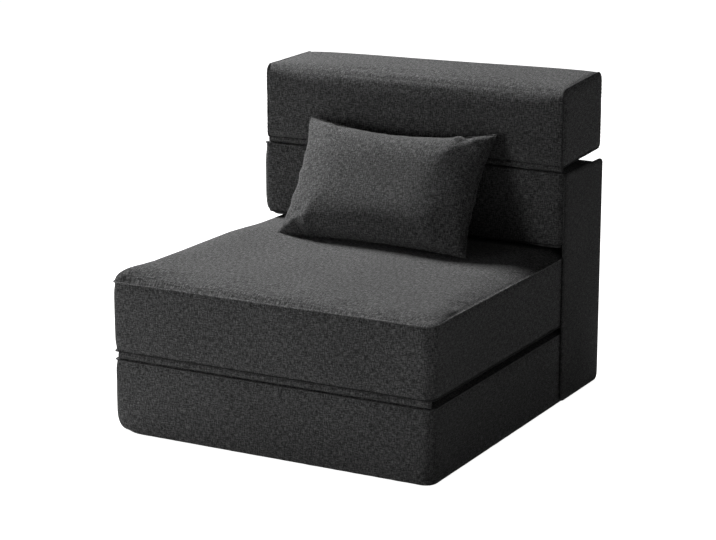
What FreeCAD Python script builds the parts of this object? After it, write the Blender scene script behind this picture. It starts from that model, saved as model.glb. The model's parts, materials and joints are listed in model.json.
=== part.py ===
import FreeCAD, Part
import math
import os
import Sketcher
from FreeCAD import Placement, Rotation, Vector

# Convertible chair bed: four foam sections stacked as a chair and joined by fabric hinges at the
# front, the rear and the front again, so that the stack unrolls forwards into a flat bed.
# Millimetres. X is to the right, Y to the rear, Z up, and the floor is Z = 0.
# The origin is on the floor, under the middle of the base.

doc = FreeCAD.newDocument("ChairBed")
sheet = doc.addObject("Spreadsheet::Sheet", "Sizes")

SIZES = [
    # the four sections
    ("bed_width", 700.0, "width of every section across the bed"),
    ("seat_depth", 786.0, "front to rear of the base and the seat"),
    ("back_depth", 198.0, "front to rear of the lower back and the head"),
    ("base_height", 156.0, "top of the base above the floor"),
    ("seat_height", 158.0, "height of the seat"),
    ("back_front_height", 166.0, "height of the lower back's front"),
    ("back_rear_height", 152.0, "height of the lower back's rear, lower than its front"),
    ("head_front_height", 159.0, "height of the head's front"),
    ("head_rear_height", 150.0, "height of the head's rear"),
    # the gaps between stacked sections
    ("base_seat_gap", 7.0, "top of the base to underside of the seat"),
    ("seat_back_gap", 7.0, "top of the seat to underside of the lower back"),
    ("back_head_gap", 6.0, "lower back to head at their front hinge"),
    # the upholstered form
    ("edge_round", 15.0, "rounding of the top and bottom edges"),
    ("corner_round", 24.0, "rounding of the upright corners"),
    ("cover_wall", 2.0, "quilted cover fabric"),
    ("foam_gap", 2.0, "wadding between a cover and its foam"),
    ("foot_sheet", 1.2, "anti-slip sheet under the base"),
    ("foot_margin", 40.0, "anti-slip sheet inside the base's outline"),
    # the fabric hinges
    ("hinge_reach", 4.0, "hinge lines stand this far off the faces they join"),
    ("bed_gap", 1.0, "the unfolded seat above the floor"),
    ("strip_wall", 1.5, "doubled fabric of the hinge strips"),
    ("strip_inset", 8.0, "hinge strips behind the faces they join"),
    ("strip_sewn", 3.0, "hinge strip sewn down inside the lower section"),
    ("strip_slack", 1.0, "hinge strip short of the upper section"),
    ("strip_margin", 30.0, "hinge strips inside the width"),
    # the side flap on the right
    ("flap_wall", 6.0, "padded side flap"),
    ("flap_standoff", 1.4, "sections' sides to the flap's inner face"),
    ("flap_top", 482.0, "top of the flap above the floor"),
    ("flap_floor_gap", 3.0, "flap's foot above the floor"),
    ("flap_split_gap", 1.5, "foot of the flap to the part that opens"),
    ("flap_corner", 14.0, "rounding of the flap's outer corners"),
    ("flap_edge", 2.5, "rounding of the flap's edges"),
    ("tape_wall", 0.6, "hook tape, and loop tape, each"),
    ("tape_width", 25.0, "hook tape and loop tape"),
    ("tape_length", 120.0, "hook tape and loop tape"),
    # the zips
    ("zip_tape_wall", 0.8, "zip tape"),
    ("zip_tape_width", 26.0, "zip tape"),
    ("zip_coil_width", 5.0, "closed coil"),
    ("zip_coil_rise", 1.2, "closed coil above its tape"),
    ("zip_end_margin", 70.0, "zip ends inside the face"),
    ("slider_gap", 0.3, "slider above the coil"),
    ("slider_length", 12.0, "zip slider along the zip"),
    ("slider_width", 9.0, "zip slider across the zip"),
    ("slider_wall", 2.2, "zip slider"),
    ("slider_round", 0.9, "rounding of the slider's edges"),
    ("pull_length", 26.0, "pull tab"),
    ("pull_width", 6.0, "pull tab"),
    ("pull_wall", 1.4, "pull tab"),
    ("pull_round", 2.1, "rounding of the pull tab's ends"),
    ("pull_hole", 3.0, "hole in the pull tab"),
    # the loose pillow
    ("pillow_width", 436.0, "corner to corner along the width"),
    ("pillow_height", 267.0, "corner to corner up the slope"),
    ("pillow_depth", 112.0, "thickness at the middle"),
    ("pillow_hollow_x", 7.0, "how far the upright edges pull in"),
    ("pillow_hollow_z", 10.0, "how far the long edges pull in"),
    ("pillow_lean", 31.6, "degrees from upright"),
    ("pillow_left", 8.0, "middle of the pillow left of the chair's middle"),
    ("pillow_to_back", 165.0, "pillow's bottom edge ahead of the lower back"),
    ("pillow_rise", 12.0, "pillow's bottom corners above the seat"),
    ("pillow_wall", 1.5, "pillow cover"),
    ("pillow_slack", 1.5, "pillow cover to its filling"),
    ("pillow_zip_length", 260.0, "zip in the pillow's bottom edge"),
    ("pillow_zip_width", 8.0, "zip tape across the pillow's edge"),
    ("pillow_zip_gap", 0.5, "zip tape ahead of the pillow's edge"),
]

for row, (alias, value, note) in enumerate(SIZES, start=1):
    sheet.set(f"A{row}", alias)
    sheet.set(f"B{row}", str(value))
    sheet.set(f"C{row}", note)
    sheet.setAlias(f"B{row}", alias)
doc.recompute()


def size(alias):
    return float(sheet.get(alias))


def bind(item, **expressions):
    """Ties properties of an object to cells: underscores stand for the dots of a property path."""
    for prop, expression in expressions.items():
        item.setExpression(prop.replace("_", "."), expression)


PARTS = []


def keep(item, label):
    item.Label = label
    PARTS.append(item)
    return item


def feature(label, shape, place=Placement()):
    item = doc.addObject("Part::Feature", label)
    item.Shape = shape
    item.Placement = place
    return keep(item, label)


# Heights of the sections' faces, from the floor up
width = size("bed_width")
depth = size("seat_depth")
base_bottom = size("foot_sheet")
base_top = size("base_height")
seat_bottom = base_top + size("base_seat_gap")
seat_top = seat_bottom + size("seat_height")
back_bottom = seat_top + size("seat_back_gap")
back_top_front = back_bottom + size("back_front_height")
back_top_rear = back_bottom + size("back_rear_height")
head_bottom_front = back_top_front + size("back_head_gap")
head_top = head_bottom_front + size("head_front_height")
head_bottom_rear = head_top - size("head_rear_height")
rear = depth / 2
front = -rear
back_front = rear - size("back_depth")


# Upholstered sections
LEAST_ROUND = 4.0
THIN = 0.01


def section_form(y_front, bottom, top, skin=0.0):
    """A block with rounded edges, shrunk by skin on every side. bottom and top are (front, rear)
    heights of its faces, and the upright corners have the larger rounding."""
    near = y_front + skin
    far = rear - skin
    left = skin - width / 2

    def corner(y, faces, inwards):
        share = (y - y_front) / (rear - y_front)
        return Vector(left, y, faces[0] + (faces[1] - faces[0]) * share + inwards)

    profile = [corner(near, bottom, skin), corner(far, bottom, skin),
               corner(far, top, -skin), corner(near, top, -skin)]
    block = Part.Face(Part.makePolygon(profile + profile[:1])).extrude(Vector(-2 * left, 0, 0))
    for alias, wants_upright in (("corner_round", True), ("edge_round", False)):
        edges = []
        for edge in block.Edges:
            upright = max(edge.BoundBox.XLength, edge.BoundBox.YLength) < THIN
            if upright == wants_upright:
                edges.append(edge)
        block = block.makeFillet(max(size(alias) - skin, LEAST_ROUND), edges)
    return block


def upholstered(name, *form):
    """A cover shell and the foam block inside it."""
    wall = size("cover_wall")
    cover = section_form(*form).cut(section_form(*form, skin=wall))
    feature(f"{name}_cover", cover)
    feature(f"{name}_foam", section_form(*form, skin=wall + size("foam_gap")))


upholstered("base", front, (base_bottom, base_bottom), (base_top, base_top))
upholstered("seat", front, (seat_bottom, seat_bottom), (seat_top, seat_top))
upholstered("lower_back", back_front, (back_bottom, back_bottom), (back_top_front, back_top_rear))
upholstered("head", back_front, (head_bottom_front, head_bottom_rear), (head_top, head_top))

foot = keep(doc.addObject("Part::Box", "anti_slip_sheet"), "anti_slip_sheet")
bind(foot, Length="Sizes.bed_width - 2 * Sizes.foot_margin", Width="Sizes.seat_depth - 2 * Sizes.foot_margin",
     Height="Sizes.foot_sheet",
     Placement_Base_x="-(Sizes.bed_width / 2 - Sizes.foot_margin)",
     Placement_Base_y="-(Sizes.seat_depth / 2 - Sizes.foot_margin)")


# Fabric hinges: doubled strips sewn into the section below and reaching up to the one above
def hinge_strip(label, y_inner, seam_below, seam_above):
    strip = keep(doc.addObject("Part::Box", label), label)
    bind(strip, Length="Sizes.bed_width - 2 * Sizes.strip_margin", Width="Sizes.strip_wall",
         Height=f"{seam_above} - ({seam_below}) + Sizes.strip_sewn - Sizes.strip_slack",
         Placement_Base_x="-(Sizes.bed_width / 2 - Sizes.strip_margin)",
         Placement_Base_y=y_inner,
         Placement_Base_z=f"{seam_below} - Sizes.strip_sewn")


BASE_TOP = "Sizes.base_height"
SEAT_BOTTOM = f"({BASE_TOP} + Sizes.base_seat_gap)"
SEAT_TOP = f"({SEAT_BOTTOM} + Sizes.seat_height)"
BACK_BOTTOM = f"({SEAT_TOP} + Sizes.seat_back_gap)"
BACK_TOP = f"({BACK_BOTTOM} + Sizes.back_front_height)"
HEAD_BOTTOM = f"({BACK_TOP} + Sizes.back_head_gap)"
FRONT = "-Sizes.seat_depth / 2"
REAR = "Sizes.seat_depth / 2"
BACK_FRONT = "(Sizes.seat_depth / 2 - Sizes.back_depth)"

hinge_strip("front_hinge_strip", f"{FRONT} + Sizes.strip_inset", BASE_TOP, SEAT_BOTTOM)
hinge_strip("rear_hinge_strip", f"{REAR} - Sizes.strip_inset - Sizes.strip_wall", SEAT_TOP, BACK_BOTTOM)
hinge_strip("head_hinge_strip", f"{BACK_FRONT} + Sizes.strip_inset", BACK_TOP, HEAD_BOTTOM)


# Padded side flap on the right: its foot is sewn to the base, and the rest opens outwards
SAME_HEIGHT = 0.01


def padded_panel(label, low, high, round_low, round_high):
    """A body padded from a sketch on the YZ plane, from height low to height high. Its outer corners
    are rounded at the ends that are free, and its outer edges everywhere."""
    body = doc.addObject("PartDesign::Body", label)
    plane = [item for item in body.Origin.OriginFeatures if item.Role == "YZ_Plane"][0]
    sketch = body.newObject("Sketcher::SketchObject", f"{label}_sketch")
    sketch.AttachmentSupport = [(plane, "")]
    sketch.MapMode = "FlatFace"
    y0, y1 = back_front, rear
    corners = [Vector(y0, low, 0), Vector(y1, low, 0), Vector(y1, high, 0), Vector(y0, high, 0)]
    for index in range(4):
        sketch.addGeometry(Part.LineSegment(corners[index], corners[(index + 1) % 4]), False)
    for index in range(4):
        sketch.addConstraint(Sketcher.Constraint("Coincident", index, 2, (index + 1) % 4, 1))
    for index, kind in enumerate(("Horizontal", "Vertical", "Horizontal", "Vertical")):
        sketch.addConstraint(Sketcher.Constraint(kind, index))
    origin = -1
    start = 1
    near = sketch.addConstraint(Sketcher.Constraint("DistanceX", origin, start, 0, 1, y0))
    deep = sketch.addConstraint(Sketcher.Constraint("DistanceX", 0, 1, 0, 2, y1 - y0))
    lift = sketch.addConstraint(Sketcher.Constraint("DistanceY", origin, start, 0, 1, low))
    tall = sketch.addConstraint(Sketcher.Constraint("DistanceY", 1, 1, 1, 2, high - low))
    sketch.setExpression(f"Constraints[{near}]", BACK_FRONT)
    sketch.setExpression(f"Constraints[{deep}]", "Sizes.back_depth")
    sketch.setExpression(f"Constraints[{lift}]", FLAP_HEIGHTS[low])
    sketch.setExpression(f"Constraints[{tall}]", f"{FLAP_HEIGHTS[high]} - ({FLAP_HEIGHTS[low]})")
    pad = body.newObject("PartDesign::Pad", f"{label}_pad")
    pad.Profile = sketch
    pad.Length = size("flap_wall")
    pad.setExpression("Length", "Sizes.flap_wall")
    doc.recompute()
    free = {round(low, 3): round_low, round(high, 3): round_high}
    upright = []
    for number, edge in enumerate(pad.Shape.Edges, start=1):
        ends = [vertex.Point for vertex in edge.Vertexes]
        across = abs(ends[0].x - ends[1].x) > size("flap_wall") / 2
        if across and free.get(round(ends[0].z, 3)):
            upright.append(f"Edge{number}")
    corner = body.newObject("PartDesign::Fillet", f"{label}_corner")
    corner.Base = (pad, upright)
    corner.Radius = size("flap_corner")
    corner.setExpression("Radius", "Sizes.flap_corner")
    doc.recompute()
    outer = []
    for number, edge in enumerate(corner.Shape.Edges, start=1):
        box = edge.BoundBox
        cut_end = any(
            not rounded and max(abs(box.ZMin - height), abs(box.ZMax - height)) < SAME_HEIGHT
            for height, rounded in free.items()
        )
        if box.XMin > size("flap_wall") / 2 and not cut_end:
            outer.append(f"Edge{number}")
    soft = body.newObject("PartDesign::Fillet", f"{label}_edge")
    soft.Base = (corner, outer)
    soft.Radius = size("flap_edge")
    soft.setExpression("Radius", "Sizes.flap_edge")
    body.Tip = soft
    body.setExpression("Placement.Base.x", "Sizes.bed_width / 2 + Sizes.flap_standoff")
    return keep(body, label)


flap_split = (base_top + seat_bottom) / 2 - size("flap_split_gap") / 2
flap_start = flap_split + size("flap_split_gap")
FLAP_HEIGHTS = {
    size("flap_floor_gap"): "Sizes.flap_floor_gap",
    flap_split: f"({BASE_TOP} + {SEAT_BOTTOM}) / 2 - Sizes.flap_split_gap / 2",
    flap_start: f"({BASE_TOP} + {SEAT_BOTTOM}) / 2 + Sizes.flap_split_gap / 2",
    size("flap_top"): "Sizes.flap_top",
}
padded_panel("side_flap_foot", size("flap_floor_gap"), flap_split, True, False)
padded_panel("side_flap", flap_start, size("flap_top"), False, True)


# Hook tape inside the flap, and loop tape on the seat's and the lower back's sides
def tape(label, x_inner, height):
    strip = keep(doc.addObject("Part::Box", label), label)
    bind(strip, Length="Sizes.tape_wall", Width="Sizes.tape_length", Height="Sizes.tape_width",
         Placement_Base_x=x_inner,
         Placement_Base_y=f"({BACK_FRONT} + {REAR} - Sizes.tape_length) / 2",
         Placement_Base_z=f"{height} - Sizes.tape_width / 2")


SEAT_MIDDLE = f"({SEAT_BOTTOM} + {SEAT_TOP}) / 2"
BACK_MIDDLE = f"({BACK_BOTTOM} + {BACK_TOP}) / 2"
HOOK_X = "Sizes.bed_width / 2 + Sizes.flap_standoff - Sizes.tape_wall"
LOOP_X = "Sizes.bed_width / 2"
tape("seat_hook_tape", HOOK_X, SEAT_MIDDLE)
tape("back_hook_tape", HOOK_X, BACK_MIDDLE)
tape("seat_loop_tape", LOOP_X, SEAT_MIDDLE)
tape("back_loop_tape", LOOP_X, BACK_MIDDLE)


# Zips. Each is made lying flat: the tape along X with its back on Z = 0, and then stood on its face.
def zip_tape(length, tape_width):
    tape_shape = Part.makeBox(length, tape_width, size("zip_tape_wall"),
                              Vector(-length / 2, -tape_width / 2, 0))
    coil_width = min(size("zip_coil_width"), tape_width / 2)
    half = coil_width / 2
    rise = size("zip_coil_rise")
    base = size("zip_tape_wall")
    left = -length / 2
    arc = Part.Arc(Vector(left, -half, base), Vector(left, 0, base + rise), Vector(left, half, base))
    line = Part.LineSegment(Vector(left, half, base), Vector(left, -half, base))
    coil = Part.Face(Part.Wire([arc.toShape(), line.toShape()])).extrude(Vector(length, 0, 0))
    return tape_shape.fuse(coil).removeSplitter()


def slider_and_pull():
    """A slider above the coil, with its pull tab hanging across the tape."""
    floor_gap = size("zip_tape_wall") + size("zip_coil_rise") + size("slider_gap")
    length = size("slider_length")
    slider_width = size("slider_width")
    wall = size("slider_wall")
    body = Part.makeBox(length, slider_width, wall, Vector(-length / 2, -slider_width / 2, floor_gap))
    body = body.makeFillet(size("slider_round"), body.Edges)
    pull_width = size("pull_width")
    pull_wall = size("pull_wall")
    pull_length = size("pull_length")
    top = floor_gap + wall
    hanging = Part.makeBox(pull_width, pull_length, pull_wall, Vector(-pull_width / 2, -pull_length, top))
    ends = [edge for edge in hanging.Edges if edge.BoundBox.ZLength > pull_wall / 2]
    hanging = hanging.makeFillet(size("pull_round"), ends)
    hole_y = pull_width / 2 - pull_length
    hole = Part.makeCylinder(size("pull_hole") / 2, pull_wall, Vector(0, hole_y, top))
    return body.fuse(hanging.cut(hole))


def zip_and_slider(name, length, tape_width, place, slider_end):
    """place stands the flat zip on its face. slider_end is -1 or 1, the end where the zip is shut."""
    feature(f"{name}_zip", zip_tape(length, tape_width), place)
    travel = length / 2 - size("slider_length")
    shut = place.multiply(Placement(Vector(slider_end * travel, 0, 0), Rotation()))
    feature(f"{name}_zip_slider", slider_and_pull(), shut)


# Flat X runs along the zip, flat Y points up the face, and flat Z points out of it
REAR_FACE = Rotation(Vector(-1, 0, 0), Vector(0, 0, 1), Vector(0, 1, 0), "XZY")
LEFT_FACE = Rotation(Vector(0, -1, 0), Vector(0, 0, 1), Vector(-1, 0, 0), "XZY")
left = -width / 2
wide_zip = width - 2 * size("zip_end_margin")
tape_width = size("zip_tape_width")
seat_middle = (seat_bottom + seat_top) / 2
back_middle = (back_bottom + (back_top_front + back_top_rear) / 2) / 2
head_middle = (head_top + (head_bottom_front + head_bottom_rear) / 2) / 2
zip_and_slider("base", wide_zip, tape_width,
               Placement(Vector(0, rear, (base_bottom + base_top) / 2), REAR_FACE), 1)
zip_and_slider("head", wide_zip, tape_width, Placement(Vector(0, rear, head_middle), REAR_FACE), 1)
zip_and_slider("seat", depth - 2 * size("zip_end_margin"), tape_width,
               Placement(Vector(left, 0, seat_middle), LEFT_FACE), -1)
zip_and_slider("lower_back", size("back_depth") - size("zip_end_margin"), tape_width,
               Placement(Vector(left, (back_front + rear) / 2, back_middle), LEFT_FACE), -1)


# Loose pillow: four concave edges that meet at points, and a crown on both faces
PILLOW_LEVELS = [(0.0, 1.0), (0.30, 0.975), (0.55, 0.90), (0.76, 0.76), (0.91, 0.54), (0.985, 0.28)]


def pillow_outline(share, level, skin):
    """The pillow's outline shrunk to a share of its size, at a level of its half thickness."""
    half_w = (size("pillow_width") / 2 - skin) * share
    half_h = (size("pillow_height") / 2 - skin) * share
    dent_w = size("pillow_hollow_x") * share ** 2
    dent_h = size("pillow_hollow_z") * share ** 2
    out = level * (size("pillow_depth") / 2 - skin)
    corners = [Vector(-half_w, -half_h, out), Vector(half_w, -half_h, out),
               Vector(half_w, half_h, out), Vector(-half_w, half_h, out)]
    middles = [Vector(0, dent_h - half_h, out), Vector(half_w - dent_w, 0, out),
               Vector(0, half_h - dent_h, out), Vector(dent_w - half_w, 0, out)]
    edges = []
    for index in range(4):
        arc = Part.Arc(corners[index], middles[index], corners[(index + 1) % 4])
        edges.append(arc.toShape())
    return Part.Wire(edges)


def pillow_form(skin=0.0):
    rear_half = [(-level, share) for level, share in reversed(PILLOW_LEVELS[1:])]
    wires = [pillow_outline(share, level, skin) for level, share in rear_half + PILLOW_LEVELS]
    return Part.makeLoft(wires, True, True)


# Flat X runs along the width, flat Y up the slope, and flat Z out of the pillow's front
lean = math.radians(size("pillow_lean"))
slope = Vector(0, math.sin(lean), math.cos(lean))
facing = Vector(0, -math.cos(lean), math.sin(lean))
bottom_edge = Vector(-size("pillow_left"), back_front - size("pillow_to_back"),
                     seat_top + size("pillow_rise"))
pillow_turn = Rotation(Vector(1, 0, 0), slope, facing, "XYZ")
pillow_place = Placement(bottom_edge + slope * (size("pillow_height") / 2), pillow_turn)
feature("pillow_cover", pillow_form().cut(pillow_form(size("pillow_wall"))), pillow_place)
feature("pillow_filling", pillow_form(size("pillow_wall") + size("pillow_slack")), pillow_place)

# The pillow's zip lies in the hollow of its bottom edge, facing down the slope
edge_turn = Rotation(Vector(1, 0, 0), facing, slope * -1, "XYZ")
half_zip = size("pillow_zip_length") / 2
hollow_share = 1 - (half_zip / (size("pillow_width") / 2)) ** 2
hollow = size("pillow_hollow_z") * hollow_share - size("pillow_zip_gap")
feature("pillow_zip", zip_tape(size("pillow_zip_length"), size("pillow_zip_width")),
        Placement(bottom_edge + slope * hollow, edge_turn))

doc.recompute()

# Every object has to be sound before anything is written
for item in doc.Objects:
    bad = [state for state in item.State if state in ("Invalid", "Error")]
    if bad:
        raise RuntimeError(f"{item.Label} is {bad}")
for item in PARTS:
    if item.Shape.isNull() or not item.Shape.isValid() or not item.Shape.Solids:
        raise RuntimeError(f"{item.Label} has no sound shape")

os.makedirs("parts", exist_ok=True)
for item in PARTS:
    item.Shape.exportStep(f"parts/{item.Label}.step")
    box = item.Shape.BoundBox
    print(f"{item.Label:22s} {len(item.Shape.Solids)} solid, {item.Shape.Volume / 1e6:8.3f} l, "
          f"x {box.XMin:.1f} to {box.XMax:.1f}, y {box.YMin:.1f} to {box.YMax:.1f}, "
          f"z {box.ZMin:.1f} to {box.ZMax:.1f}")
reach = size("hinge_reach")
bed_gap = size("bed_gap")
hinge_lines = {
    "seat": (front - reach, (seat_top + bed_gap) / 2),
    "lower back": (rear + reach, (seat_top + back_bottom) / 2),
    "head": (back_front - reach, (back_top_front + head_bottom_front) / 2),
}
for name, (y, z) in hinge_lines.items():
    print(f"hinge line of the {name}: y {y:.1f}, z {z:.1f}")
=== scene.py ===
import json
import math
import bmesh
import bpy
import numpy as np
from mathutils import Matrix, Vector, noise
from mathutils.bvhtree import BVHTree
from mathutils.kdtree import KDTree


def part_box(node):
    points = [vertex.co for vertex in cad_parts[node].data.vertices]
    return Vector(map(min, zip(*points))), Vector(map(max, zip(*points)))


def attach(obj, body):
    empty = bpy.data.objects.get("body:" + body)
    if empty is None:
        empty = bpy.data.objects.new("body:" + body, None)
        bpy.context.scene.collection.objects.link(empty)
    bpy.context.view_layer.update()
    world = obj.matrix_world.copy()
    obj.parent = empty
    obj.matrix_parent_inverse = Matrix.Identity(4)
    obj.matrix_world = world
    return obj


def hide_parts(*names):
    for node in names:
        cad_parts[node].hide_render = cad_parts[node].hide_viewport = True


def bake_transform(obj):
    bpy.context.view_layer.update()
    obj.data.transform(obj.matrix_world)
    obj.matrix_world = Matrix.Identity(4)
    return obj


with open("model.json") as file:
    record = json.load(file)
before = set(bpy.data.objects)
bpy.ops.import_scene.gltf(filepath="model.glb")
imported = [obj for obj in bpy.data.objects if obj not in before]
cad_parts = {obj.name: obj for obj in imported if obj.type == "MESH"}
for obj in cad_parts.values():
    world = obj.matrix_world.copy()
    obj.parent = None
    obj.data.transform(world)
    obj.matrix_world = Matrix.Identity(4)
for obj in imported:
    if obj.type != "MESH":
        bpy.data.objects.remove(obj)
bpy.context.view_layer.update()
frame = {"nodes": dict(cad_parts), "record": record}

scene = bpy.context.scene
print("Frame loaded")


# Small helpers

tiny = 1e-6              # metres, or a share of a side, that counts as none
nothing = 1e-9           # keeps a length from being zero where it divides
edgeCrowding = 1.5       # how strongly a grid's cells narrow towards an end
cornerShape = {"lowReach": 0.26, "middleFullness": 5}     # where a corner's radius changes along its edge


def newPiece(name, bm):
    mesh = bpy.data.meshes.new(name)
    bm.to_mesh(mesh)
    bm.free()
    piece = bpy.data.objects.new(name, mesh)
    scene.collection.objects.link(piece)
    for polygon in mesh.polygons:
        polygon.use_smooth = True
    return piece


def meshPoints(piece):
    points = np.zeros(len(piece.data.vertices) * 3)
    piece.data.vertices.foreach_get("co", points)
    return points.reshape(-1, 3)


def setPoints(piece, points):
    piece.data.vertices.foreach_set("co", points.astype(np.float32).ravel())
    piece.data.update()


def refine(piece, levels=1):
    softener = piece.modifiers.new("Subdivision", "SUBSURF")
    softener.levels = levels
    softener.render_levels = levels
    return piece


def cellPlaces(span, band, bandCells, cell):
    # even cells in the middle, and narrower ones towards each end
    inner = max(2, round((span - 2 * band) / cell))
    near = [band * (i / bandCells) ** edgeCrowding for i in range(bandCells)]
    middle = [band + (span - 2 * band) * i / inner for i in range(inner + 1)]
    return near + middle + [span - place for place in reversed(near)]


def gridBlock(low, high, band, bandCells, cell):
    # a cube cut into a grid on every face, with flat weave coordinates in metres
    bm = bmesh.new()
    bmesh.ops.create_cube(bm, size=1.0)
    bmesh.ops.translate(bm, verts=bm.verts, vec=(0.5, 0.5, 0.5))
    size = high - low
    for axis in range(3):
        places = cellPlaces(size[axis], band[axis], bandCells[axis], cell)
        along = [e for e in bm.edges if abs(e.verts[0].co[axis] - e.verts[1].co[axis]) > 0.5]
        bmesh.ops.subdivide_edges(bm, edges=along, cuts=len(places) - 2, use_grid_fill=True)
        for vert in bm.verts:
            step = round(vert.co[axis] * (len(places) - 1))
            vert.co[axis] = low[axis] + places[step]
    bm.normal_update()
    weave = bm.loops.layers.uv.new("weave")
    for face in bm.faces:
        axis = max(range(3), key=lambda i: abs(face.normal[i]))
        across, up = ((1, 2), (0, 2), (0, 1))[axis]
        for loop in face.loops:
            loop[weave].uv = (loop.vert.co[across], loop.vert.co[up])
    return bm


def smooth(share):
    share = np.clip(share, 0.0, 1.0)
    return share * share * (3 - 2 * share)


def roundPlan(bm, low, high, axes, radii, lowRadii=None, midRadii=None):
    # rounds the four corners seen along the third axis, each with its own radius, which may change
    # towards the lower end of that axis or in the middle of it
    first, second = axes
    middle = (low + high) / 2
    half = (high - low) / 2
    third = 3 - first - second
    for vert in bm.verts:
        a = vert.co[first] - middle[first]
        b = vert.co[second] - middle[second]
        corner = 2 * (b > 0) + (a > 0)
        radius = radii[corner]
        share = (vert.co[third] - low[third]) / (high[third] - low[third])
        if lowRadii:
            rest = max(0.0, 1 - share / cornerShape["lowReach"])
            radius += (lowRadii[corner] - radius) * (1 - math.sqrt(1 - min(rest, 1.0) ** 2))
        if midRadii:
            radius += (midRadii[corner] - radius) * (1 - abs(2 * share - 1) ** cornerShape["middleFullness"])
        beyondA = max(0.0, abs(a) - (half[first] - radius))
        beyondB = max(0.0, abs(b) - (half[second] - radius))
        if beyondA <= 0 or beyondB <= 0:
            continue
        reach = max(beyondA, beyondB) / math.hypot(beyondA, beyondB)
        vert.co[first] = middle[first] + math.copysign(half[first] - radius + beyondA * reach, a)
        vert.co[second] = middle[second] + math.copysign(half[second] - radius + beyondB * reach, b)


def lift(inset, run):
    # 0 at the seam, rising steeply and then levelling out to 1 where the lid is flat
    share = min(inset / run, 1.0)
    return math.sqrt(1 - (1 - share) ** 2)


def joinRows(bm, first, second):
    # a ring of faces between two closed rows of points
    for corner, after in enumerate([*range(1, len(first)), 0]):
        bm.faces.new((first[corner], first[after], second[after], second[corner]))


def surfaceTree(piece):
    bpy.context.view_layer.update()
    return BVHTree.FromObject(piece, bpy.context.evaluated_depsgraph_get())


def castOnto(tree, start, way):
    hit = tree.ray_cast(start, way)[0]
    return hit if hit is not None else tree.find_nearest(start)[0]


def dress(piece, material, body, slotName, *nodes):
    piece.data.materials.clear()
    piece.data.materials.append(material)
    if nodes:
        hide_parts(*nodes)
    if body:
        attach(piece, body)


# Materials

def nodeMaterial(name, colour):
    material = bpy.data.materials.new(name)
    material.use_nodes = True
    material.diffuse_color = (*colour, 1)
    return material, material.node_tree.nodes, material.node_tree.links


def mathNode(nodes, links, operation, first, second=None, third=None):
    node = nodes.new("ShaderNodeMath")
    node.operation = operation
    for socket, value in zip(node.inputs, (first, second, third)):
        if value is None:
            continue
        if isinstance(value, (int, float)):
            socket.default_value = value
        else:
            links.new(value, socket)
    return node.outputs[0]


def mixColour(nodes, links, factor, first, second):
    node = nodes.new("ShaderNodeMix")
    node.data_type = "RGBA"
    links.new(factor, node.inputs["Factor"])
    node.inputs["A"].default_value = (*first, 1)
    node.inputs["B"].default_value = (*second, 1)
    return node.outputs["Result"]


def noiseNode(nodes, links, place, scale, detail, roughness):
    node = nodes.new("ShaderNodeTexNoise")
    node.inputs["Scale"].default_value = scale
    node.inputs["Detail"].default_value = detail
    node.inputs["Roughness"].default_value = roughness
    links.new(place, node.inputs["Vector"])
    return node.outputs["Fac"]


def bumpNode(nodes, links, shader, height, strength, distance):
    node = nodes.new("ShaderNodeBump")
    node.inputs["Strength"].default_value = strength
    node.inputs["Distance"].default_value = distance
    links.new(height, node.inputs["Height"])
    links.new(node.outputs["Normal"], shader.inputs["Normal"])


melange = {
    "dark": (0.010, 0.010, 0.0102),
    "light": (0.222, 0.222, 0.223),
    "thread": 0.0021,           # pitch of the weave
    "slubLength": 0.011,        # how long a light or dark stretch of yarn runs
    "slubWidth": 0.0022,
    "slubDetail": 2.0,
    "slubRoughness": 0.6,
    "fleck": 0.0028,            # mottling that shows from a step away
    "fleckDetail": 3.0,
    "fleckRoughness": 0.7,
    "fleckShare": 0.50,
    "patch": 0.16,              # slow change of tone over the cover
    "patchDetail": 2.0,
    "patchRoughness": 0.5,
    "patchShare": 0.06,
    "darkBelow": 0.63,
    "lightAbove": 0.94,
    "evenness": 1.7,            # makes the steps of tone look even to the eye
    "lightRelief": 1.4,         # light yarn stands higher
    "bumpStrength": 0.7,
    "bump": 0.00045,
}
fabricSurface = {"Roughness": 0.93, "Specular IOR Level": 0.2, "Sheen Weight": 0.12, "Sheen Roughness": 0.6}
solidGrain = {
    "detail": 3.0, "roughness": 0.5, "darker": 0.7, "lighter": 1.35, "dullSpread": 0.2, "bumpStrength": 0.5,
}


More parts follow.
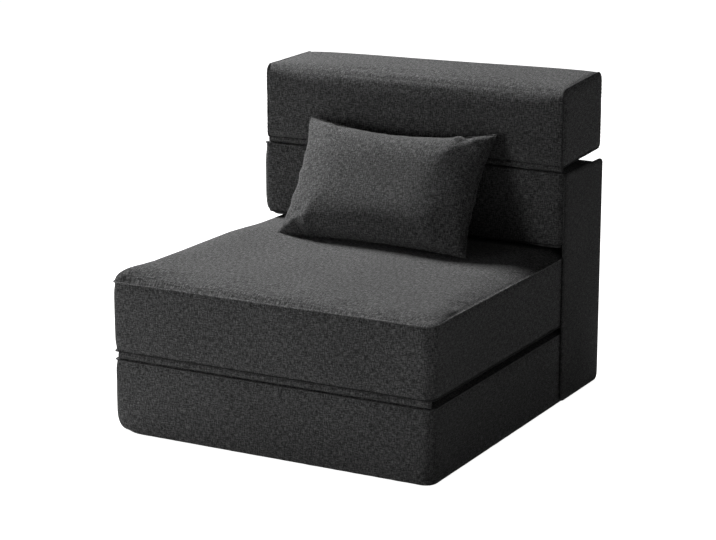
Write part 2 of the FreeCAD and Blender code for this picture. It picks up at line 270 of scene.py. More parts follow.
def wovenFabric(name, values, turn=0.0, tone=1.0):
    dark = [part * tone for part in values["dark"]]
    light = [part * tone for part in values["light"]]
    material, nodes, links = nodeMaterial(name, dark)
    uv = nodes.new("ShaderNodeUVMap")
    uv.uv_map = "weave"
    mapping = nodes.new("ShaderNodeMapping")
    mapping.inputs["Rotation"].default_value[2] = turn
    links.new(uv.outputs["UV"], mapping.inputs["Vector"])
    place = mapping.outputs["Vector"]
    split = nodes.new("ShaderNodeSeparateXYZ")
    links.new(place, split.inputs[0])

    def threadWave(across):
        turns = mathNode(nodes, links, "MULTIPLY", across, 2 * math.pi / values["thread"])
        return mathNode(nodes, links, "SINE", turns)

    def slubs(*scale):
        # yarn tone that changes quickly across the thread and slowly along it
        stretch = nodes.new("ShaderNodeVectorMath")
        stretch.operation = "MULTIPLY"
        stretch.inputs[1].default_value = (*scale, 1)
        links.new(place, stretch.inputs[0])
        return noiseNode(nodes, links, stretch.outputs[0], 1.0, values["slubDetail"], values["slubRoughness"])

    warpWave = threadWave(split.outputs[0])
    weftWave = threadWave(split.outputs[1])
    over = mathNode(nodes, links, "MULTIPLY", warpWave, weftWave)      # which thread lies on top
    yarn = nodes.new("ShaderNodeMix")
    links.new(mathNode(nodes, links, "MULTIPLY_ADD", over, 0.5, 0.5), yarn.inputs["Factor"])
    links.new(slubs(1 / values["slubWidth"], 1 / values["slubLength"]), yarn.inputs["A"])
    links.new(slubs(1 / values["slubLength"], 1 / values["slubWidth"]), yarn.inputs["B"])
    mixed = yarn.outputs["Result"]
    for layer in ("fleck", "patch"):
        spots = noiseNode(nodes, links, place, 1 / values[layer], values[f"{layer}Detail"],
                          values[f"{layer}Roughness"])
        mixed = mathNode(nodes, links, "MULTIPLY_ADD", spots, values[f"{layer}Share"], mixed)
    ramp = nodes.new("ShaderNodeMapRange")
    ramp.inputs["From Min"].default_value = values["darkBelow"]
    ramp.inputs["From Max"].default_value = values["lightAbove"]
    links.new(mixed, ramp.inputs["Value"])
    even = mathNode(nodes, links, "POWER", ramp.outputs["Result"], values["evenness"])
    shader = nodes["Principled BSDF"]
    links.new(mixColour(nodes, links, even, dark, light), shader.inputs["Base Color"])
    for socket, value in fabricSurface.items():
        shader.inputs[socket].default_value = value
    # threads stand proud, thicker where the yarn is light
    warpCrest = mathNode(nodes, links, "ABSOLUTE", warpWave)
    weftCrest = mathNode(nodes, links, "ABSOLUTE", weftWave)
    crest = mathNode(nodes, links, "ADD", warpCrest, weftCrest)
    height = mathNode(nodes, links, "MULTIPLY_ADD", mixed, values["lightRelief"], crest)
    bumpNode(nodes, links, shader, height, values["bumpStrength"], values["bump"])
    return material


def plainMaterial(name, colour, roughness, grain, bump, metallic=0.0):
    # a solid finish with fine noise in its tone, roughness and surface, on object coordinates
    material, nodes, links = nodeMaterial(name, colour)
    coords = nodes.new("ShaderNodeTexCoord")
    speck = noiseNode(nodes, links, coords.outputs["Object"], 1 / grain, solidGrain["detail"],
                      solidGrain["roughness"])
    dark = [part * solidGrain["darker"] for part in colour]
    light = [min(1.0, part * solidGrain["lighter"]) for part in colour]
    shader = nodes["Principled BSDF"]
    links.new(mixColour(nodes, links, speck, dark, light), shader.inputs["Base Color"])
    shader.inputs["Metallic"].default_value = metallic
    spread = solidGrain["dullSpread"]
    dull = mathNode(nodes, links, "MULTIPLY_ADD", speck, spread, roughness - spread / 2)
    links.new(dull, shader.inputs["Roughness"])
    bumpNode(nodes, links, shader, speck, solidGrain["bumpStrength"], bump)
    return material


coverFabric = wovenFabric("charcoalMelange", melange)
# a lighter copy of the cover fabric: a painted highlight on the seam cord that faces the light
seamPaintedHighlightFabric = wovenFabric("seamPaintedHighlight", melange, tone=1.6)
# a darker copy of the cover fabric: painted shade on the seam cords that lie in the creases' shadow
seamPaintedShadeFabric = wovenFabric("seamPaintedShade", melange, tone=0.3)
flapFabric = wovenFabric("flapMelange", melange, turn=math.radians(90), tone=0.62)
pillowFabric = wovenFabric("pillowMelange", melange, turn=math.radians(90), tone=1.0)
zipTapeFabric = plainMaterial("zipTape", (0.02, 0.02, 0.021), roughness=0.85, grain=0.0009, bump=0.0002)
zipMetal = plainMaterial("blackZipMetal", (0.05, 0.05, 0.052), roughness=0.42, grain=0.0015, bump=0.00005,
                         metallic=1.0)
hookTape = plainMaterial("hookAndLoopTape", (0.018, 0.018, 0.018), roughness=0.95, grain=0.0007, bump=0.0008)
antiSlip = plainMaterial("antiSlipRubber", (0.03, 0.03, 0.031), roughness=0.75, grain=0.004, bump=0.0006)
print("Materials made")


# Soft sections

def inflate(piece, values):
    # pressure and slack cloth between the pinned seams, then every point's move is capped
    before = meshPoints(piece)
    cloth = piece.modifiers.new("Cloth", "CLOTH")
    settings = cloth.settings
    settings.quality = values["quality"]
    settings.mass = values["mass"]
    settings.tension_stiffness = values["stiffness"]
    settings.compression_stiffness = values["stiffness"]
    settings.shear_stiffness = values["stiffness"] / 2
    settings.bending_stiffness = values["bending"]
    settings.use_pressure = True
    settings.uniform_pressure_force = values["pressure"]
    settings.shrink_min = values["shrink"]
    settings.effector_weights.gravity = 0
    settings.vertex_group_mass = "seams" if "seams" in piece.vertex_groups else ""
    cloth.collision_settings.use_collision = False
    cloth.point_cache.frame_start = 1
    cloth.point_cache.frame_end = values["frames"]
    for step in range(1, values["frames"] + 1):
        scene.frame_set(step)
        evaluated = piece.evaluated_get(bpy.context.evaluated_depsgraph_get())
        after = np.zeros(before.size)
        evaluated.data.vertices.foreach_get("co", after)
        after = after.reshape(-1, 3)
        if np.ptp(after[:, 2]) > values["stopThickness"]:
            break
    piece.modifiers.remove(cloth)
    scene.frame_set(1)
    move = after - before
    length = np.linalg.norm(move, axis=1, keepdims=True)
    cap = values["cap"]
    soft = cap * np.tanh(length / cap) / np.maximum(length, nothing)
    setPoints(piece, before + move * soft)


# Each section is a band of cloth between two lids. capAxis 2 has its lids above and below, and capAxis 0
# has them left and right. A lid's seam lies inside the CAD box, and its rise, run and crown take the cloth
# from there to its middle. Radii go front left, front right, rear left and rear right. The head's go front
# and rear at its foot, then front and rear at its top.
evenSection = {
    "capAxis": 2, "lowRadii": None, "midRadii": None, "topSwell": 0.0,
    "slantTop": 0.0, "twistTop": 0.0, "slantBottom": 0.0, "seamLids": (0, 1),
}
sections = {
    "base": {
        **evenSection, "radii": (0.010, 0.019, 0.022, 0.022), "lowRadii": (0.062, 0.024, 0.040, 0.024),
        "bulge": 0.0030, "seamLids": (1,), "flare": 0.0070, "flareReach": 0.062,
        "lids": ({"seam": 0.0002, "rise": 0.0008, "run": 0.006, "crown": 0.0},
                 {"seam": 0.0060, "rise": 0.0048, "run": 0.016, "crown": 0.0012}),
    },
    "seat": {
        **evenSection, "radii": (0.010, 0.019, 0.022, 0.022),
        "bulge": 0.0046, "flare": 0.0080, "flareReach": 0.062,
        "lids": ({"seam": 0.0050, "rise": 0.0042, "run": 0.016, "crown": 0.0008},
                 {"seam": 0.0115, "rise": 0.0195, "run": 0.040, "crown": 0.0015}),
    },
    "lower_back": {
        **evenSection, "radii": (0.010, 0.012, 0.020, 0.020), "lowRadii": (0.026, 0.014, 0.024, 0.020),
        "bulge": 0.0026, "slantTop": -0.014, "flare": 0.0060, "flareReach": 0.030,
        "lids": ({"seam": 0.0095, "rise": 0.009, "run": 0.024, "crown": 0.0005},
                 {"seam": 0.0045, "rise": 0.0045, "run": 0.012, "crown": 0.0}),
    },
    "head": {
        **evenSection, "capAxis": 0, "radii": (0.009, 0.009, 0.013, 0.020),
        "midRadii": (0.009, 0.009, 0.024, 0.014), "bulge": 0.0014, "topSwell": 0.0042,
        "slantTop": 0.004, "twistTop": 0.009, "slantBottom": 0.009, "flare": 0.0020, "flareReach": 0.060,
        "lids": ({"seam": 0.0060, "rise": 0.010, "run": 0.040, "crown": 0.001},
                 {"seam": 0.0045, "rise": 0.0045, "run": 0.022, "crown": 0.001}),
    },
}
seamsWithPaintedHighlight = {("seat", 1)}                 # these seam cords get a painted highlight, and the others painted shade, as they lie in their own shadow
sectionCloth = {
    "quality": 5, "mass": 0.25, "stiffness": 12.0, "bending": 0.6, "pressure": 1.6, "shrink": -0.012,
    "frames": 14, "cap": 0.0030, "stopThickness": 1.0,      # higher than any section, so never reached
}
sectionGrid = {"cell": 0.0125, "planBand": 0.026, "planCells": 5, "capBand": 0.018, "capCells": 4}
clothForm = {
    "domeFullness": 3,                      # the higher, the flatter the middle and the quicker the edge
    "swell": 0.6, "sideFullness": 20, "topFullness": 3,
    "flareFull": 0.125, "flareEnd": 0.375,  # shares of the width, from the left
}
stand = {                                   # how far cloth may stand past the CAD
    "left": 0.0046, "right": 0.0030, "front": 0.0033, "rear": 0.0034, "floor": 0.0009,
}
pressed = {"from": 0.150, "to": 0.196, "clear": 0.0003}      # the right sides under the flap
leftCrown = {                               # the seat's fuller left side, and its flatter right one
    "rise": 0.0095, "until": 0.30, "from": -0.02, "to": 0.17, "in": 0.044, "flatter": 0.45,
}
underBack = {"from": 0.190, "top": 0.3262, "slope": 0.12}    # the seat's top under the lower back
zips = {                                    # by section, with the axis and side that each one faces
    "base": {"node": "base_zip", "axis": 1, "side": 1},
    "head": {"node": "head_zip", "axis": 1, "side": 1},
    "seat": {"node": "seat_zip", "axis": 0, "side": -1},
    "lower_back": {"node": "lower_back_zip", "axis": 0, "side": -1},
}
zipChannel = {"stand": 0.0008, "fade": 0.034}                # the cloth is drawn in along a zip


def flareAt(values, low, y):
    return values["flare"] * smooth(1 - (y - low.y) / values["flareReach"])


def sectionGridBlock(low, high, plan, cap):
    # the section's grid, with every point's shares of the box and its distance from the plan's outline
    band = [sectionGrid["planBand"]] * 3
    bandCells = [sectionGrid["planCells"]] * 3
    band[cap] = sectionGrid["capBand"]
    bandCells[cap] = sectionGrid["capCells"]
    bm = gridBlock(low, high, band, bandCells, sectionGrid["cell"])
    size = high - low
    shares = [[(v.co[axis] - low[axis]) / size[axis] for axis in range(3)] for v in bm.verts]
    insets = [min(min(v.co[axis] - low[axis], high[axis] - v.co[axis]) for axis in plan) for v in bm.verts]
    return bm, shares, insets


def crownLid(vert, share, inset, cap, lid, seam, way, flatter=0.0):
    # way is -1 for the lower lid and 1 for the upper one
    dome = 1.0
    for axis in range(3):
        if axis != cap:
            dome *= 1 - abs(2 * share[axis] - 1) ** clothForm["domeFullness"]
    rise = lid["rise"] * (1 - flatter * smooth(2 * share[0] - 1))
    vert.co[cap] = seam + way * rise * lift(inset, lid["run"]) + way * lid["crown"] * dome


def fillLeftSide(vert, share, inset):
    fade = 1 - smooth((vert.co.y - leftCrown["from"]) / (leftCrown["to"] - leftCrown["from"]))
    inward = smooth(1 - share[0] / leftCrown["until"])
    vert.co.z += leftCrown["rise"] * fade * lift(inset, leftCrown["in"]) * inward


def bulgeBand(vert, share, values, plan):
    # the cloth between the lids swells out, and the head's top more than its sides
    swell = math.sin(math.pi * share[values["capAxis"]]) ** clothForm["swell"]
    for axis, other in (plan, reversed(plan)):
        if tiny <= share[axis] <= 1 - tiny:
            continue
        across = abs(2 * share[other] - 1)
        amount = values["bulge"] * swell * (1 - across ** clothForm["sideFullness"])
        if axis == 2 and share[axis] > 0.5:
            amount += values["topSwell"] * swell * (1 - across ** clothForm["topFullness"])
        vert.co[axis] += math.copysign(amount, share[axis] - 0.5)


def softSection(name, values):
    nodes = (f"{name}_cover", f"{name}_foam")
    low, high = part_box(nodes[0])
    size = high - low
    cap = values["capAxis"]
    plan = [axis for axis in range(3) if axis != cap]
    bm, shares, insets = sectionGridBlock(low, high, plan, cap)
    seams = ([], [])
    for index, (share, inset) in enumerate(zip(shares, insets)):
        if inset < tiny and min(share[cap], 1 - share[cap]) < tiny:
            seams[round(share[cap])].append(index)
    roundPlan(bm, low, high, plan, values["radii"], lowRadii=values["lowRadii"], midRadii=values["midRadii"])
    below, above = values["lids"]
    seamLow = low[cap] + below["seam"]
    seamHigh = high[cap] - above["seam"]
    for vert, share, inset in zip(bm.verts, shares, insets):
        if share[cap] < tiny:
            crownLid(vert, share, inset, cap, below, seamLow, -1)
        elif share[cap] > 1 - tiny and name == "seat":
            crownLid(vert, share, inset, cap, above, seamHigh, 1, leftCrown["flatter"])
            fillLeftSide(vert, share, inset)
        elif share[cap] > 1 - tiny:
            crownLid(vert, share, inset, cap, above, seamHigh, 1)
        else:
            vert.co[cap] = seamLow + share[cap] * (seamHigh - seamLow)
            bulgeBand(vert, share, values, plan)
    flareSpan = clothForm["flareEnd"] - clothForm["flareFull"]
    for vert, share in zip(bm.verts, shares):
        back = (vert.co.y - low.y) / size.y
        up = (vert.co.z - low.z) / size.z
        slant = values["slantTop"] + values["twistTop"] * share[0]
        vert.co.z += back * (up * slant + (1 - up) * values["slantBottom"])
        vert.co.x -= flareAt(values, low, vert.co.y) * smooth((clothForm["flareEnd"] - share[0]) / flareSpan)
    bmesh.ops.recalc_face_normals(bm, faces=bm.faces)
    piece = newPiece(f"{name}_cushion", bm)
    piece.vertex_groups.new(name="seams").add(seams[0] + seams[1], 1.0, "REPLACE")
    inflate(piece, sectionCloth)
    keepClear(piece, name, values, low, high)
    puckerSeams(piece, seams[0] + seams[1])
    for side in values["seamLids"]:
        # the seam cord that faces the light is painted lighter as highlight, and the others are painted
        # darker as shade
        fabric = seamPaintedHighlightFabric if (name, side) in seamsWithPaintedHighlight else seamPaintedShadeFabric
        seamCord(piece, seams[side], f"{name}_seam_{side}", name, fabric)
    refine(piece)
    dress(piece, coverFabric, name, "charcoal_fabric", *nodes)
    return piece


def keepClear(piece, name, values, low, high):
    # leaves room for the zips, the flap, the floor, the lower back and the faces met in the bed
    points = meshPoints(piece)
    zipAxis = zips[name]["axis"]
    zipLow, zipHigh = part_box(zips[name]["node"])
    beyond = np.maximum(zipLow.z - points[:, 2], points[:, 2] - zipHigh.z)
    near = smooth(1 - beyond / zipChannel["fade"])
    left = stand["left"] + (zipChannel["stand"] - stand["left"]) * near * (zipAxis == 0)
    rear = stand["rear"] + (zipChannel["stand"] - stand["rear"]) * near * (zipAxis == 1)
    flare = flareAt(values, low, points[:, 1])
    points[:, 0] = np.maximum(points[:, 0], low.x - left - flare)
    points[:, 1] = np.clip(points[:, 1], low.y - stand["front"], high.y + rear)
    points[:, 2] = np.maximum(points[:, 2], low.z - stand["floor"])
    under = smooth((points[:, 1] - pressed["from"]) / (pressed["to"] - pressed["from"]))
    most = high.x + stand["right"] * (1 - under) + pressed["clear"] * under
    points[:, 0] = np.minimum(points[:, 0], most)
    if name == "seat":
        ahead = np.maximum(0.0, underBack["from"] - points[:, 1])
        points[:, 2] = np.minimum(points[:, 2], underBack["top"] + ahead * underBack["slope"])
    setPoints(piece, points)


# Seams: the cloth gathered beside them, and the seam line itself

gathers = {
    "rise": 0.0008, "sink": 0.0013, "pucker": 0.0012, "reach": 0.020,
    "length": 0.021, "slant": 0.9, "upright": 0.35, "layer": 3.7,     # of the noise that makes the folds
}
seamLine = {
    "radius": 0.0013, "step": 0.0035, "sides": 6,
    "stitch": 0.0085, "stitchSwell": 0.22, "unevenness": 0.35, "unevenScale": 55,
}


def puckerSeams(piece, seams):
    # the cloth beside a seam is drawn down, and gathered in small folds that fade away from it
    bm = bmesh.new()
    bm.from_mesh(piece.data)
    bm.verts.ensure_lookup_table()
    bm.normal_update()
    onSeam = set(seams)
    beside = {e.other_vert(bm.verts[i]).index for i in seams for e in bm.verts[i].link_edges} - onSeam
    tree = KDTree(len(seams))
    for index in seams:
        tree.insert(bm.verts[index].co, index)
    tree.balance()
    moves = []
    for vert in bm.verts:
        distance = tree.find(vert.co)[2]
        if vert.index in onSeam:
            moves.append((vert, vert.normal * gathers["rise"]))
        elif distance < gathers["reach"]:
            x, y, z = vert.co / gathers["length"]
            fold = noise.noise(Vector((x + y * gathers["slant"], z * gathers["upright"], gathers["layer"])))
            move = gathers["pucker"] * fold * (1 - distance / gathers["reach"])
            if vert.index in beside:
                move -= gathers["sink"]
            moves.append((vert, vert.normal * move))
    for vert, move in moves:
        vert.co += move
    bm.to_mesh(piece.data)
    bm.free()


def loopOrder(piece, seams):
    # walks once round a closed seam
    onSeam = set(seams)
    links = {index: [] for index in seams}
    for edge in piece.data.edges:
        a, b = edge.vertices
        if a in onSeam and b in onSeam:
            links[a].append(b)
            links[b].append(a)
    order = [seams[0]]
    while len(order) < len(seams):
        onwards = [index for index in links[order[-1]] if index not in order[-2:] and index != order[0]]
        if not onwards:
            break
        order.append(onwards[0])
    return order


def seamCord(piece, seams, name, body, fabric):
    # a fine raised seam line that comes and goes with its stitches
    order = loopOrder(piece, seams)
    mesh = piece.data
    points = [mesh.vertices[i].co.copy() for i in order]
    normals = [mesh.vertices[i].normal.copy() for i in order]
    ring = []
    for here, after in enumerate([*range(1, len(points)), 0]):
        steps = max(1, round((points[after] - points[here]).length / seamLine["step"]))
        for share in [step / steps for step in range(steps)]:
            ring.append((points[here].lerp(points[after], share), normals[here].lerp(normals[after], share)))
    bm = bmesh.new()
    weave = bm.loops.layers.uv.new("weave")
    rows = []
    travelled = 0.0
    for index, (point, normal) in enumerate(ring):
        onwards = ring[(index + 1) % len(ring)][0] - ring[index - 1][0]
        tangent = onwards.normalized()
        side = tangent.cross(normal).normalized()
        out = side.cross(tangent)
        travelled += onwards.length / 2
        stitch = seamLine["stitchSwell"] * math.cos(2 * math.pi * travelled / seamLine["stitch"])
        uneven = seamLine["unevenness"] * noise.noise(point * seamLine["unevenScale"])
        radius = seamLine["radius"] * (1 + stitch + uneven)
        row = []
        for corner in range(seamLine["sides"]):
            angle = 2 * math.pi * corner / seamLine["sides"]
            row.append(bm.verts.new(point + radius * (side * math.cos(angle) + out * math.sin(angle))))
        rows.append(row)
    for first, second in zip(rows, rows[1:] + rows[:1]):
        joinRows(bm, first, second)
    for face in bm.faces:
        for loop in face.loops:
            loop[weave].uv = (loop.vert.co.x + loop.vert.co.y, loop.vert.co.z)
    bmesh.ops.recalc_face_normals(bm, faces=bm.faces)
    dress(newPiece(name, bm), fabric, body, "charcoal_fabric")


cushions = {}
for sectionName, sectionValues in sections.items():
    cushions[sectionName] = softSection(sectionName, sectionValues)
    print("Section made:", sectionName)


# Fabric hinge strips between the sections

strips = {
    "front_hinge_strip": {"bodies": ("base", "seat"), "facing": -1, "low": 0.1515, "high": 0.1660,
                          "outer": 0.0008, "flare": 0.0065},
    "rear_hinge_strip": {"bodies": ("lower_back", "seat"), "facing": 1, "low": 0.3125, "high": 0.3365,
                         "outer": 0.0020, "flare": 0.0},
    "head_hinge_strip": {"bodies": ("lower_back", "head"), "facing": -1, "low": 0.4905, "high": 0.5035,
                         "outer": 0.0014, "flare": 0.0030},
}
stripRoll = {
    "thickness": 0.0030, "depth": 0.0070, "margin": 0.0050, "inset": 0.008,
    "band": 0.004, "bandCells": (3, 1, 3), "cell": 0.010,
    "ripple": 0.0004, "rippleAcross": 9, "rippleUp": 30, "rippleLayer": 7.0,
}


def hingeStrip(name, values):
    stripLow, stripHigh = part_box(name)
    facing = values["facing"]
    face = stripLow.y - stripRoll["inset"] if facing < 0 else stripHigh.y + stripRoll["inset"]
    near = face - facing * values["outer"]
    deep = near - facing * stripRoll["thickness"]
    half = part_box("base_cover")[1].x - stripRoll["margin"]
    low = Vector((-half, min(near, deep), values["low"]))
    high = Vector((half, max(near, deep), values["high"]))
    band = (stripRoll["band"], stripRoll["thickness"] / 3, stripRoll["band"])
    bm = gridBlock(low, high, band, stripRoll["bandCells"], stripRoll["cell"])
    for vert in bm.verts:
        share = (vert.co.z - low.z) / (high.z - low.z)
        across = max(0.0, min(1.0, (half - abs(vert.co.x)) / stripRoll["band"]))
        roll = math.sqrt(max(0.0, 1 - (2 * share - 1) ** 2)) * math.sqrt(across * (2 - across))
        spot = Vector((vert.co.x * stripRoll["rippleAcross"], vert.co.z * stripRoll["rippleUp"],
                       stripRoll["rippleLayer"]))
        ripple = stripRoll["ripple"] * noise.noise(spot)
        vert.co.y -= facing * (stripRoll["depth"] * (1 - roll) + ripple)
        vert.co.x -= values["flare"] * smooth(-vert.co.x / half)
    bmesh.ops.recalc_face_normals(bm, faces=bm.faces)
    piece = refine(newPiece(name + "_cloth", bm))
    dress(piece, coverFabric, None, "charcoal_fabric", name)
    start = Vector((0, near, values["low"]))
    end = Vector((0, near, values["high"]))
    if facing > 0:
        start, end = end, start
    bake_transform(piece)
    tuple(start)
    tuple(end)


for stripName, stripValues in strips.items():
    hingeStrip(stripName, stripValues)
print("Hinge strips made")


# Padded side flap on the right, one piece of cloth from its foot to its top hem

flap = {
    "thickness": 0.0046, "rise": 0.0065, "inset": 0.0004, "corner": 0.014, "edge": 0.0024, "edgeRun": 0.0072,
    "cell": 0.011, "bandCells": (2, 4, 4), "hemWidth": 0.014, "hemRise": 0.0013,
    "puff": 0.0016, "fullAcross": 6, "fullUp": 14, "puffEven": 0.7, "puffRipple": 0.9,
    "rippleAcross": 3.1, "rippleUp": 6.3, "rippleLayer": 2.4,
    "blend": 0.012,          # of its foot into the base, above and below the fold
}


def sideFlap():
    footLow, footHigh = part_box("side_flap_foot")
    flapLow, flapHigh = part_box("side_flap")
    low = footLow + Vector((-flap["inset"], 0, 0))
    high = Vector((low.x + flap["thickness"], flapHigh.y, flapHigh.z + flap["rise"]))
    bm = gridBlock(low, high, (flap["edge"], flap["corner"], flap["corner"]), flap["bandCells"], flap["cell"])
    size = high - low
    outside = [(v, (v.co.y - low.y) / size.y, (v.co.z - low.z) / size.z)
               for v in bm.verts if v.co.x > high.x - tiny]
    roundPlan(bm, low, high, (1, 2), (flap["corner"],) * 4)
    for vert, u, v in outside:
        inset = min(u * size.y, (1 - u) * size.y, v * size.z, (1 - v) * size.z)
        vert.co.x -= flap["edge"] * (1 - lift(inset, flap["edgeRun"]))
        ripple = noise.noise(Vector((u * flap["rippleAcross"], v * flap["rippleUp"], flap["rippleLayer"])))
        full = (1 - abs(2 * u - 1) ** flap["fullAcross"]) * (1 - abs(2 * v - 1) ** flap["fullUp"])
        vert.co.x += flap["puff"] * full * (flap["puffEven"] + flap["puffRipple"] * ripple)
        hem = (1 - v) * size.z / flap["hemWidth"]
        if hem < 1:
            vert.co.x += flap["hemRise"] * math.sin(math.pi * hem)
    bmesh.ops.recalc_face_normals(bm, faces=bm.faces)
    piece = refine(newPiece("side_flap_cloth", bm))
    dress(piece, flapFabric, None, "charcoal_fabric", "side_flap_foot", "side_flap")
    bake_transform(piece)


sideFlap()
print("Side flap made")


# Loose pillow, blown up from two flat panels and then stood against the back

pillow = {
    "width": 0.450, "height": 0.285, "start": 0.012,        # of the flat panels, before they are blown up
    "cell": 0.0075, "band": (0.02, 0.02, 0.002), "bandCells": (4, 4, 1),
    "lensFullness": 4, "knifeEdge": 1e-4, "weld": 1e-5, "noArea": 1e-10,
    "finishedWidth": 0.436, "finishedHeight": 0.267, "depth": 0.112,
    "lean": math.radians(31.6),
    "curve": {1: (0.07, 0.19), 0: (0.09, 0.065)},           # below and above, left and right, in half sides
    "above": 0.0005, "before": 0.0015, "easing": 0.012,     # clear of the seat and of the lower back
    "castFrom": 0.6,
}
pillowCloth = {
    "quality": 6, "mass": 0.25, "stiffness": 50.0, "bending": 0.5, "pressure": 6.0, "shrink": -0.005,
    "frames": 40, "cap": 1.0, "stopThickness": 0.090,
}


def pillowPanels():
    # two flat panels that meet in a knife edge, with the points of the whole rim and of each edge
    halves = (pillow["width"] / 2, pillow["height"] / 2)
    high = Vector((*halves, pillow["start"]))
    bm = gridBlock(-high, high, pillow["band"], pillow["bandCells"], pillow["cell"])
    for vert in bm.verts:
        u, v = (min(1.0, abs(vert.co[axis]) / halves[axis]) for axis in (0, 1))
        lens = math.sqrt(max(0.0, (1 - u ** pillow["lensFullness"]) * (1 - v ** pillow["lensFullness"])))
        vert.co.z = math.copysign(pillow["start"] * lens, vert.co.z) if lens > pillow["knifeEdge"] else 0.0
    bmesh.ops.remove_doubles(bm, verts=bm.verts, dist=pillow["weld"])
    flat = [face for face in bm.faces if face.calc_area() < pillow["noArea"]]
    bmesh.ops.delete(bm, geom=flat, context="FACES")
    bmesh.ops.recalc_face_normals(bm, faces=bm.faces)
    bm.verts.index_update()
    edges = {(axis, side): [v.index for v in bm.verts if v.co[axis] * side > halves[axis] - pillow["weld"]]
             for axis in (0, 1) for side in (-1, 1)}
    rim = sorted(set().union(*edges.values()))
    return newPiece("lumbar_pillow", bm), rim, edges


def loosePillow():
    piece, rim, edges = pillowPanels()
    inflate(piece, pillowCloth)
    points = meshPoints(piece)
    spread = points.max(axis=0) - points.min(axis=0)
    points -= (points.max(axis=0) + points.min(axis=0)) / 2
    points *= np.array([pillow["finishedWidth"], pillow["finishedHeight"], pillow["depth"]]) / spread
    print("Pillow blown up to", [round(float(s), 3) for s in spread], "rim points", len(rim))
    for axis in (1, 0):
        points[:, axis] = curveEdges(points, edges, axis)
    rise = math.sin(pillow["lean"])
    run = math.cos(pillow["lean"])
    coverLow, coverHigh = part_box("pillow_cover")
    turned = points @ np.array([[1, 0, 0], [0, rise, run], [0, -run, rise]])
    placed = np.array((coverLow + coverHigh) / 2) + turned
    # it rests on the seat and against the lower back
    seatTree = surfaceTree(cushions["seat"])
    down = Vector((0, 0, -1))
    seatTop = np.array([castOnto(seatTree, Vector((x, y, pillow["castFrom"])), down).z for x, y, z in placed])
    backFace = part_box("lower_back_cover")[0].y
    placed[:, 2] = softLimit(placed[:, 2], seatTop + pillow["above"], pillow["easing"])
    placed[:, 1] = -softLimit(-placed[:, 1], pillow["before"] - backFace, pillow["easing"])
    setPoints(piece, placed)
    puckerSeams(piece, rim)
    seamCord(piece, rim, "pillow_seam", "pillow", pillowFabric)
    refine(piece)
    dress(piece, pillowFabric, "pillow", "pillow_fabric", "pillow_cover", "pillow_filling", "pillow_zip")


def curveEdges(points, edges, axis):
    # draws the two edges across an axis into shallow curves between the corners
    other = 1 - axis
    moved = points[:, axis].copy()
    for side, depth in zip((-1, 1), pillow["curve"][axis]):
        edge = points[edges[axis, side]]
        order = np.argsort(edge[:, other])
        reach = np.interp(points[:, other], edge[order, other], np.abs(edge[order, axis]))
        share = np.clip(points[:, other] / np.abs(edge[:, other]).max(), -1, 1)
        wanted = np.abs(edge[:, axis]).max() * (1 - depth * (1 - share ** 2))
        mine = points[:, axis] * side > 0
        moved[mine] = (points[:, axis] * wanted / reach)[mine]
    return moved


softness = {"sharpness": 4, "steepest": 30, "reach": 2}      # of the easing where the pillow rests


def softLimit(values, floor, easing):
    # presses values up to a floor, easing in over a short range above it
    over = values - floor
    scale = easing / softness["sharpness"]
    eased = scale * np.log1p(np.exp(np.clip(over / scale, -softness["steepest"], softness["steepest"])))
    return floor + np.where(over > easing * softness["reach"], over, eased)


loosePillow()
print("Pillow made")


# Zips: a tape laid on the cloth, the cover's two folded edges and a row of fine teeth between them

zipShapes = {
    "tape": {"step": 0.008, "rib": 0.0, "material": zipTapeFabric, "slot": "zip_tape",
             "profile": ((-0.0115, -0.0012), (0.0115, -0.0012), (0.0118, 0.0003), (0.0045, 0.0006),
                         (-0.0045, 0.0006), (-0.0118, 0.0003))},
    "upperFold": {"step": 0.006, "rib": 0.0, "material": coverFabric, "slot": "charcoal_fabric",
                  "profile": ((0.0036, -0.0006), (0.0130, -0.0006), (0.0124, 0.0008), (0.0072, 0.0014),
                              (0.0040, 0.0013), (0.0030, 0.0004))},
    "lowerFold": {"step": 0.006, "rib": 0.0, "material": coverFabric, "slot": "charcoal_fabric",
                  "profile": ((-0.0130, -0.0006), (-0.0036, -0.0006), (-0.0030, 0.0004), (-0.0040, 0.0013),
                              (-0.0072, 0.0014), (-0.0124, 0.0008))},
    "teeth": {"step": 0.0013, "rib": 0.55, "material": zipMetal, "slot": "zip_metal",
              "profile": ((-0.0018, 0.0), (0.0018, 0.0), (0.0014, 0.0007), (0.0, 0.0009), (-0.0014, 0.0007))},
}
ribbonCastFrom = 0.06
sectionTrees = {name: surfaceTree(piece) for name, piece in cushions.items()}


def drapedRibbon(section, shapeName):
    place = zips[section]
    shape = zipShapes[shapeName]
    low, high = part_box(place["node"])
    out = Vector((0, 0, 0))
    out[place["axis"]] = place["side"]
    along = 1 - place["axis"]
    length = high[along] - low[along]
    count = max(2, round(length / shape["step"]))
    bm = bmesh.new()
    weave = bm.loops.layers.uv.new("weave")
    rows = []
    for station in range(count + 1):
        rib = 1 + shape["rib"] * (station % 2)
        row = []
        for across, height in shape["profile"]:
            start = (low + high) / 2
            start[along] = low[along] + length * station / count
            start.z += across
            laid = castOnto(sectionTrees[section], start + out * ribbonCastFrom, -out)
            row.append(bm.verts.new(laid + out * height * rib))
        rows.append(row)
    for first, second in zip(rows, rows[1:]):
        joinRows(bm, first, second)
    bm.faces.new(rows[0])
    bm.faces.new(reversed(rows[-1]))
    for face in bm.faces:
        for loop in face.loops:
            loop[weave].uv = (loop.vert.co[along], loop.vert.co.z)
    bmesh.ops.recalc_face_normals(bm, faces=bm.faces)
    piece = newPiece(f"{place['node']}_{shapeName}", bm)
    replaced = (place["node"],) if shapeName == "tape" else ()
    dress(piece, shape["material"], section, shape["slot"], *replaced)


for sectionName in zips:
    for shapeName in zipShapes:
        drapedRibbon(sectionName, shapeName)
print("Zips made")


# Sliders, tapes and the anti-slip sheet keep their CAD shapes

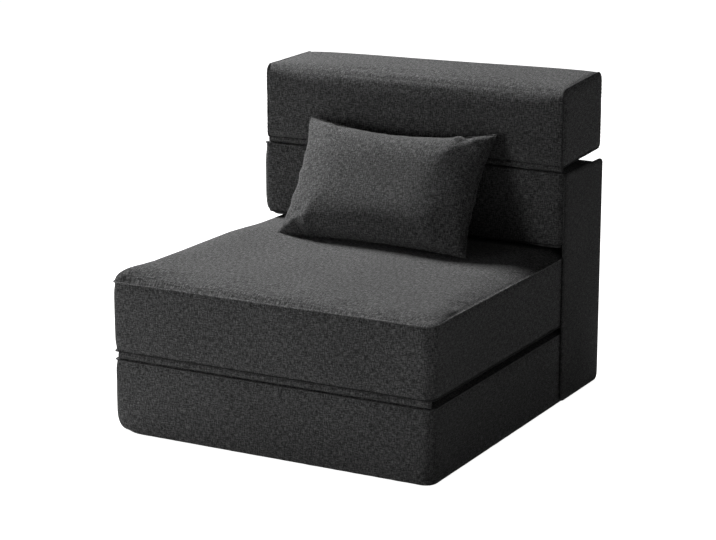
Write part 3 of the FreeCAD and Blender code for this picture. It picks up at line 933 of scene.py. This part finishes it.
nodeFinishes = {
    "zip_tape": zipTapeFabric, "zip_metal": zipMetal, "hook_and_loop": hookTape, "anti_slip": antiSlip,
}
slotOf = {row["node"]: row["material_slot"] for row in frame["record"]["subparts"]}
for nodeName, node in frame["nodes"].items():
    finish = nodeFinishes.get(slotOf[nodeName])
    if finish and not node.hide_render:
        node.data.materials.clear()
        node.data.materials.append(finish)
print("CAD nodes finished")


# Stage, light and camera

stageValues = {
    "floorSize": 14.0,
    "floorTone": (0.9, 0.9, 0.9),        # in the viewport
    "world": 0.050,
    "floorBounce": (0.45, 0.45, 0.45, 1),
    "floorGlow": 1.0,
    "lampsAimAt": (0, 0, 0.3),
}
lamps = {
    "key": {"at": (-2.7, 0.9, 3.2), "size": 1.4, "power": 285.0},
    "fill": {"at": (-1.3, -2.7, 0.55), "size": 0.9, "power": 19.0},
}


def whiteForCamera(nodes, links, shader, output, strength):
    # the camera, glossy and transmission rays see an even pale surface
    rays = nodes.new("ShaderNodeLightPath")
    seen = mathNode(nodes, links, "MAXIMUM", rays.outputs["Is Camera Ray"], rays.outputs["Is Glossy Ray"])
    seen = mathNode(nodes, links, "MAXIMUM", seen, rays.outputs["Is Transmission Ray"])
    glow = nodes.new("ShaderNodeEmission")
    glow.inputs["Color"].default_value = (1, 1, 1, 1)
    links.new(mathNode(nodes, links, "MULTIPLY", seen, strength), glow.inputs["Strength"])
    both = nodes.new("ShaderNodeAddShader")
    links.new(shader, both.inputs[0])
    links.new(glow.outputs[0], both.inputs[1])
    links.new(both.outputs[0], output)


def buildFloor():
    bm = bmesh.new()
    bmesh.ops.create_grid(bm, x_segments=1, y_segments=1, size=stageValues["floorSize"] / 2)
    floor = newPiece("studio_floor", bm)
    material, nodes, links = nodeMaterial("paleFloor", stageValues["floorTone"])
    nodes.clear()
    output = nodes.new("ShaderNodeOutputMaterial")
    matte = nodes.new("ShaderNodeBsdfDiffuse")
    matte.inputs["Color"].default_value = stageValues["floorBounce"]
    whiteForCamera(nodes, links, matte.outputs[0], output.inputs["Surface"], stageValues["floorGlow"])
    floor.data.materials.append(material)


def buildWorld():
    world = bpy.data.worlds.new("studioWorld")
    scene.world = world
    world.use_nodes = True
    nodes, links = world.node_tree.nodes, world.node_tree.links
    nodes.clear()
    output = nodes.new("ShaderNodeOutputWorld")
    ambient = nodes.new("ShaderNodeBackground")
    ambient.inputs["Color"].default_value = (1, 1, 1, 1)
    rays = nodes.new("ShaderNodeLightPath")
    strength = mathNode(nodes, links, "MULTIPLY_ADD", rays.outputs["Is Camera Ray"],
                        1 - stageValues["world"], stageValues["world"])
    links.new(strength, ambient.inputs["Strength"])
    links.new(ambient.outputs[0], output.inputs["Surface"])


def buildLamps():
    target = Vector(stageValues["lampsAimAt"])
    for lampName, values in lamps.items():
        light = bpy.data.lights.new(lampName, "AREA")
        light.shape = "DISK"
        light.size = values["size"]
        light.energy = values["power"]
        lamp = bpy.data.objects.new(lampName, light)
        lamp.location = values["at"]
        lamp.rotation_euler = (target - lamp.location).to_track_quat("-Z", "Y").to_euler()
        scene.collection.objects.link(lamp)


photoCamera = {
    "focal": 2273.7, "imageWidth": 716.0, "sensor": 36.0,    # focal length in the photograph's pixels
    "yaw": math.radians(28.49), "pitch": math.radians(14.36),
    "at": (2.1413, -3.9798, 1.4455),
}


def buildCamera():
    data = bpy.data.cameras.new("photoCamera")
    data.sensor_width = photoCamera["sensor"]
    data.lens = photoCamera["focal"] / photoCamera["imageWidth"] * photoCamera["sensor"]
    camera = bpy.data.objects.new("photoCamera", data)
    camera.location = photoCamera["at"]
    camera.rotation_euler = (math.pi / 2 - photoCamera["pitch"], 0, photoCamera["yaw"])
    scene.collection.objects.link(camera)
    scene.camera = camera


buildFloor()
buildWorld()
buildLamps()
buildCamera()
scene.view_settings.view_transform = "Standard"
print("Stage, lights and camera set")
